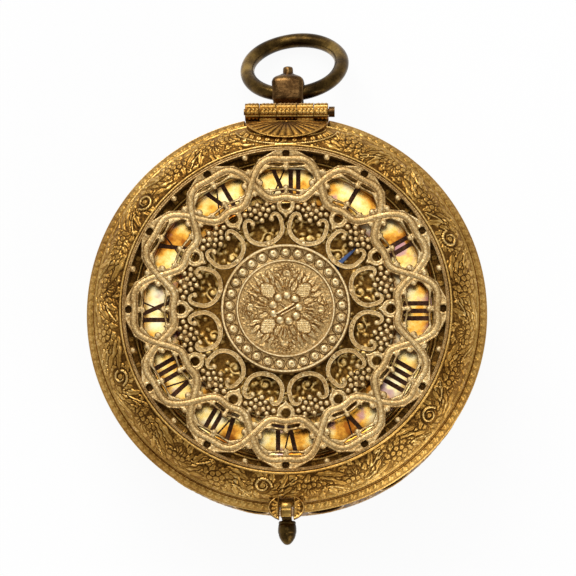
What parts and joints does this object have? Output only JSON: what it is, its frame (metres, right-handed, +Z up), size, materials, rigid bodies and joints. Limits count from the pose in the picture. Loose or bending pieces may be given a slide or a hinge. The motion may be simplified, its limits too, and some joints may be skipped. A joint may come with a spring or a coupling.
{
  "type": "clock watch",
  "caption": "Round striking watch with a pierced hinged lid over an hour dial, a bell in the case back and a swinging bow.",
  "frame": {"origin": "on the flat of the case back, on the axis of the dial", "axes": "+Z up out of the dial through the lid, +Y towards XII, the hinge and the bow, +X towards III"},
  "size_m": [0.076, 0.1007, 0.0318],
  "materials": {
    "gilt": "fire-gilt brass, engraved, with dark patina in the recesses",
    "pale_gilt": "paler worn gilding with a matte, punched surface",
    "bright_gilt": "brightly polished gilding",
    "dark_bronze": "gilding worn down to brown bronze, satin",
    "steel": "filed steel",
    "blued_steel": "steel heated to a dark blue",
    "black_wax": "black wax filling in engraved figures"
  },
  "bodies": {
    "case": {"case_back": "gilt", "case_band": "gilt", "bell": "bright_gilt", "bell_stud": "steel", "bell_nut": "steel", "pendant": "dark_bronze", "case_hinge_leaf": "gilt", "hinge_pin": "steel", "catch_spring": "steel"},
    "bow": {"bow": "dark_bronze"},
    "catch": {"catch": "dark_bronze"},
    "movement": {"movement_hinge_leaf": "gilt", "pillar_plate": "gilt", "back_plate": "gilt", "pillars": "gilt", "pillar_pins": "steel", "dial_plate": "gilt", "hour_ring": "bright_gilt", "hour_numerals": "black_wax", "dial_centre": "dark_bronze", "hour_stud": "steel", "hand_nut": "steel", "crown_bracket": "gilt", "potence": "gilt", "balance_cock": "gilt", "cock_screw": "blued_steel", "detent_stud": "steel", "hammer_spring": "steel"},
    "lid": {"lid_rim": "gilt", "lid_fret": "pale_gilt", "lid_medallion": "pale_gilt", "lid_hinge_leaf": "gilt", "lid_catch_plate": "gilt"},
    "hour_wheel": {"hour_wheel": "gilt"},
    "hand": {"hour_hand": "blued_steel"},
    "going_barrel": {"going_barrel": "gilt", "going_great_wheel": "gilt", "going_mainspring": "steel"},
    "going_arbor": {"going_barrel_arbor": "steel", "going_ratchet": "steel"},
    "going_click": {"going_click": "steel"},
    "second_wheel": {"second_wheel": "gilt"},
    "contrate_wheel": {"contrate_wheel": "gilt"},
    "crown_wheel": {"crown_wheel": "gilt"},
    "balance": {"verge": "steel", "balance_wheel": "gilt"},
    "strike_barrel": {"strike_barrel": "gilt", "strike_great_wheel": "gilt", "strike_mainspring": "steel"},
    "strike_arbor": {"strike_barrel_arbor": "steel", "strike_ratchet": "steel"},
    "strike_click": {"strike_click": "steel"},
    "pin_wheel": {"pin_wheel": "gilt"},
    "warning_wheel": {"warning_wheel": "gilt"},
    "fly": {"fly": "gilt"},
    "count_wheel": {"count_wheel": "gilt"},
    "strike_detent": {"strike_detent": "steel"},
    "hammer": {"hammer": "steel"}
  },
  "joints": [
    {"name": "movement_swing", "type": "hinge", "parent": "case", "child": "movement", "pos_m": [0, 0.0384, 0.0246], "axis": [-1, 0, 0], "range_deg": [0, 60]},
    {"name": "lid_swing", "type": "hinge", "parent": "movement", "child": "lid", "pos_m": [0, 0.0384, 0.0246], "axis": [-1, 0, 0], "range_deg": [0, 110]},
    {"name": "bow_swing", "type": "hinge", "parent": "case", "child": "bow", "pos_m": [0, 0.0433, 0.0145], "axis": [-0.9887, 0.0122, -0.1495], "range_deg": [-136, 67]},
    {"name": "catch_push", "type": "slide", "parent": "case", "child": "catch", "axis": [0, 1, 0], "range_m": [0, 0.0008], "stiffness_N_per_m": 1500, "springref_m": -0.0005, "deforming": ["catch_spring"]},
    {"name": "second_spin", "type": "hinge", "parent": "movement", "child": "second_wheel", "pos_m": [0.01585, 0.00541, 0.0207], "axis": [0, 0, 1], "continuous": true},
    {"name": "going_barrel_spin", "type": "hinge", "parent": "movement", "child": "going_barrel", "pos_m": [0.01106, -0.00774, 0.0186], "axis": [0, 0, 1], "continuous": true},
    {"name": "contrate_spin", "type": "hinge", "parent": "movement", "child": "contrate_wheel", "pos_m": [0.00937, 0.01313, 0.018], "axis": [0, 0, 1], "continuous": true},
    {"name": "crown_spin", "type": "hinge", "parent": "movement", "child": "crown_wheel", "pos_m": [0.00071, 0.01813, 0.0182], "axis": [-0.866, 0.5, 0], "continuous": true},
    {"name": "hour_spin", "type": "hinge", "parent": "movement", "child": "hour_wheel", "pos_m": [0, 0, 0.0248], "axis": [0, 0, 1], "continuous": true},
    {"name": "hand_set", "type": "hinge", "parent": "hour_wheel", "child": "hand", "pos_m": [0, 0, 0.0275], "axis": [0, 0, 1], "continuous": true},
    {"name": "going_winding", "type": "hinge", "parent": "movement", "child": "going_arbor", "pos_m": [0.01106, -0.00774, 0.016], "axis": [0, 0, 1], "continuous": true},
    {"name": "going_click_lift", "type": "hinge", "parent": "movement", "child": "going_click", "pos_m": [0.01613, -0.0126, 0.0124], "axis": [0, 0, 1], "range_deg": [0, 8], "stiffness_Nm_per_rad": 0.002, "springref_deg": -2.86},
    {"name": "balance_swing", "type": "hinge", "parent": "movement", "child": "balance", "pos_m": [-0.00276, 0.02013, 0.016], "axis": [0, 0, 1], "range_deg": [-40, 40]},
    {"name": "pin_spin", "type": "hinge", "parent": "movement", "child": "pin_wheel", "pos_m": [-0.01899, 0.00542, 0.0207], "axis": [0, 0, 1], "continuous": true},
    {"name": "strike_barrel_spin", "type": "hinge", "parent": "movement", "child": "strike_barrel", "pos_m": [-0.0142, -0.00774, 0.0186], "axis": [0, 0, 1], "continuous": true},
    {"name": "warning_spin", "type": "hinge", "parent": "movement", "child": "warning_wheel", "pos_m": [-0.01251, 0.01314, 0.018], "axis": [0, 0, 1], "continuous": true},
    {"name": "fly_spin", "type": "hinge", "parent": "movement", "child": "fly", "pos_m": [-0.01397, 0.02141, 0.018], "axis": [0, 0, 1], "continuous": true},
    {"name": "count_spin", "type": "hinge", "parent": "movement", "child": "count_wheel", "pos_m": [-0.0101, 0.00218, 0.0114], "axis": [0, 0, 1], "continuous": true},
    {"name": "strike_winding", "type": "hinge", "parent": "movement", "child": "strike_arbor", "pos_m": [-0.0142, -0.00774, 0.016], "axis": [0, 0, 1], "continuous": true},
    {"name": "strike_click_lift", "type": "hinge", "parent": "movement", "child": "strike_click", "pos_m": [-0.01811, -0.01358, 0.0124], "axis": [0, 0, 1], "range_deg": [0, 8], "stiffness_Nm_per_rad": 0.002, "springref_deg": -2.86},
    {"name": "hammer_lift", "type": "hinge", "parent": "movement", "child": "hammer", "pos_m": [-0.027, -0.002, 0.016], "axis": [0, 0, 1], "range_deg": [0, 12], "stiffness_Nm_per_rad": 0.02, "springref_deg": -2.86, "deforming": ["hammer_spring"]},
    {"name": "detent_lift", "type": "hinge", "parent": "movement", "child": "strike_detent", "pos_m": [0.002, -0.005, 0.011], "axis": [0, 0, 1], "range_deg": [0, 8], "stiffness_Nm_per_rad": 0.002, "springref_deg": -2.86}
  ],
  "couplings": [
    {"joint": "going_barrel_spin", "follows": "second_spin", "ratio": -0.16667},
    {"joint": "contrate_spin", "follows": "second_spin", "ratio": -5},
    {"joint": "crown_spin", "follows": "second_spin", "ratio": -30},
    {"joint": "hour_spin", "follows": "second_spin", "ratio": 0.047619},
    {"joint": "strike_barrel_spin", "follows": "pin_spin", "ratio": -0.16667},
    {"joint": "warning_spin", "follows": "pin_spin", "ratio": -5},
    {"joint": "fly_spin", "follows": "pin_spin", "ratio": 30},
    {"joint": "count_spin", "follows": "pin_spin", "ratio": -0.10256}
  ]
}
